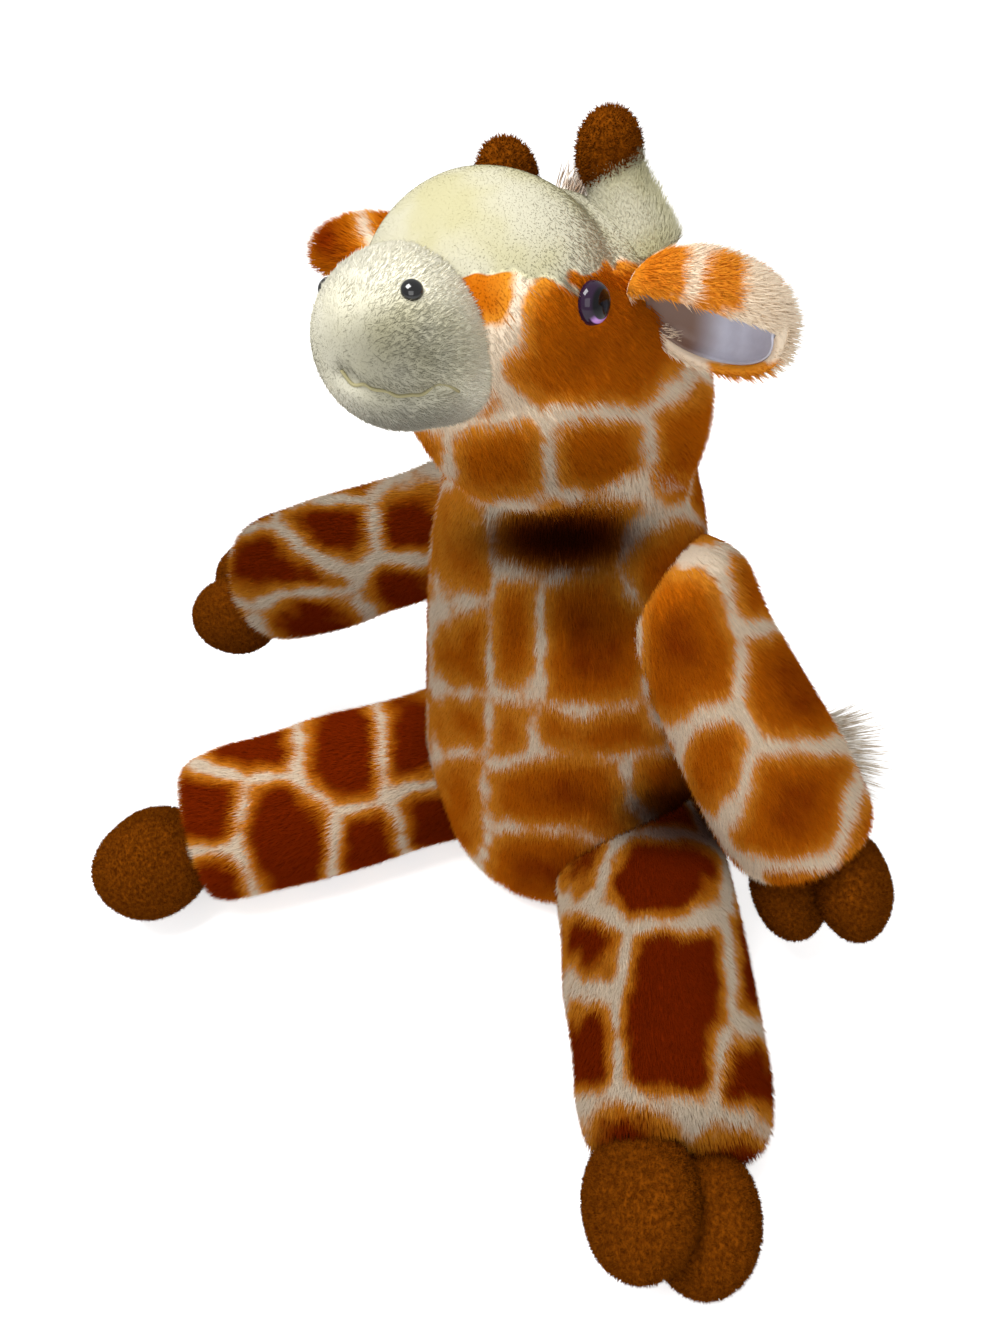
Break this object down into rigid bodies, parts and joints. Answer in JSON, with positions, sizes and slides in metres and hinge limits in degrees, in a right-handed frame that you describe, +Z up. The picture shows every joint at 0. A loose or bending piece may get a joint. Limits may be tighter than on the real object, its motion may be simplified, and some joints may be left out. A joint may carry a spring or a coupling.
{
  "type": "plush giraffe",
  "caption": "Seated plush giraffe with round muzzle, cupped ears, knobbed horns and split hooves; its stuffed head, ears, arms, legs and tail bend at their sewn joints.",
  "frame": {"origin": "centre of the flat seat panel, on the floor the toy sits on", "axes": "+Z up, -Y the way the toy faces, +X towards its left side"},
  "size_m": [0.3123, 0.2612, 0.2902],
  "materials": {
    "spotted_plush": "short brown fur printed with rust patches between cream lines",
    "cream_velour": "short smooth cream pile",
    "brown_fleece": "nubby golden brown fleece",
    "white_satin": "smooth woven sheen",
    "black_plastic": "polished",
    "clear_plastic": "plain moulded",
    "long_hair": "long loose pile",
    "fibre_filling": "loose polyester fibre"
  },
  "bodies": {
    "torso": {"torso_panel_left": "spotted_plush", "torso_panel_right": "spotted_plush", "seat_panel": "spotted_plush", "torso_stuffing": "fibre_filling"},
    "neck": {"neck_stuffing": "fibre_filling"},
    "head": {"head_panel_left": "spotted_plush", "head_panel_right": "spotted_plush", "forehead_panel": "cream_velour", "head_stuffing": "fibre_filling", "muzzle_panel": "cream_velour", "chin_panel": "cream_velour", "muzzle_stuffing": "fibre_filling", "eye_left": "black_plastic", "eye_right": "black_plastic", "eye_washer_left": "clear_plastic", "eye_washer_right": "clear_plastic", "nostril_left": "black_plastic", "nostril_right": "black_plastic", "horn_left_stem": "cream_velour", "horn_left_knob": "brown_fleece", "horn_right_stem": "cream_velour", "horn_right_knob": "brown_fleece", "mane": "long_hair"},
    "tail": {"tail_cord": "spotted_plush", "tail_tuft": "long_hair"},
    "ear_left": {"ear_left_back": "spotted_plush", "ear_left_lining": "white_satin"},
    "arm_left": {"arm_left_skin": "spotted_plush", "arm_left_stuffing": "fibre_filling", "arm_left_hoof_front": "brown_fleece", "arm_left_hoof_rear": "brown_fleece"},
    "leg_left": {"leg_left_skin": "spotted_plush", "leg_left_stuffing": "fibre_filling", "leg_left_hoof_inner": "brown_fleece", "leg_left_hoof_outer": "brown_fleece"},
    "ear_right": {"ear_right_back": "spotted_plush", "ear_right_lining": "white_satin"},
    "arm_right": {"arm_right_skin": "spotted_plush", "arm_right_stuffing": "fibre_filling", "arm_right_hoof_front": "brown_fleece", "arm_right_hoof_rear": "brown_fleece"},
    "leg_right": {"leg_right_skin": "spotted_plush", "leg_right_stuffing": "fibre_filling", "leg_right_hoof_inner": "brown_fleece", "leg_right_hoof_outer": "brown_fleece"}
  },
  "joints": [
    {"name": "head_turn", "type": "hinge", "parent": "torso", "child": "neck", "pos_m": [0, 0.004, 0.203], "axis": [0, 0, 1], "range_deg": [-30, 30], "stiffness_Nm_per_rad": 0.6},
    {"name": "head_nod", "type": "hinge", "parent": "neck", "child": "head", "pos_m": [0, 0.004, 0.203], "axis": [1, 0, 0], "range_deg": [-12, 10], "stiffness_Nm_per_rad": 0.9},
    {"name": "arm_left_swing", "type": "hinge", "parent": "torso", "child": "arm_left", "pos_m": [0.046, 0.004, 0.14799], "axis": [-0.4132, -0.8655, -0.2832], "range_deg": [0, 80], "stiffness_Nm_per_rad": 0.15},
    {"name": "arm_right_swing", "type": "hinge", "parent": "torso", "child": "arm_right", "pos_m": [-0.046, 0.004, 0.14799], "axis": [-0.4132, 0.8655, 0.2832], "range_deg": [-31, 49], "stiffness_Nm_per_rad": 0.15},
    {"name": "leg_left_swing", "type": "hinge", "parent": "torso", "child": "leg_left", "pos_m": [0.046, -0.014, 0.0335], "axis": [-0.829, -0.5592, 0], "range_deg": [-15, 25], "stiffness_Nm_per_rad": 0.35},
    {"name": "leg_right_swing", "type": "hinge", "parent": "torso", "child": "leg_right", "pos_m": [-0.046, -0.014, 0.0335], "axis": [-0.829, 0.5592, 0], "range_deg": [-15, 25], "stiffness_Nm_per_rad": 0.35},
    {"name": "ear_left_flap", "type": "hinge", "parent": "head", "child": "ear_left", "pos_m": [0.03499, -0.01161, 0.25194], "axis": [0.0731, 0.495, -0.8658], "range_deg": [-25, 30], "stiffness_Nm_per_rad": 0.02},
    {"name": "ear_right_flap", "type": "hinge", "parent": "head", "child": "ear_right", "pos_m": [-0.03828, -0.00649, 0.24292], "axis": [0.0471, -0.4957, 0.8672], "range_deg": [-35, 20], "stiffness_Nm_per_rad": 0.02},
    {"name": "tail_swing", "type": "hinge", "parent": "torso", "child": "tail", "pos_m": [0, 0.04687, 0.03], "axis": [0, 0, 1], "range_deg": [-30, 30], "stiffness_Nm_per_rad": 0.01}
  ]
}
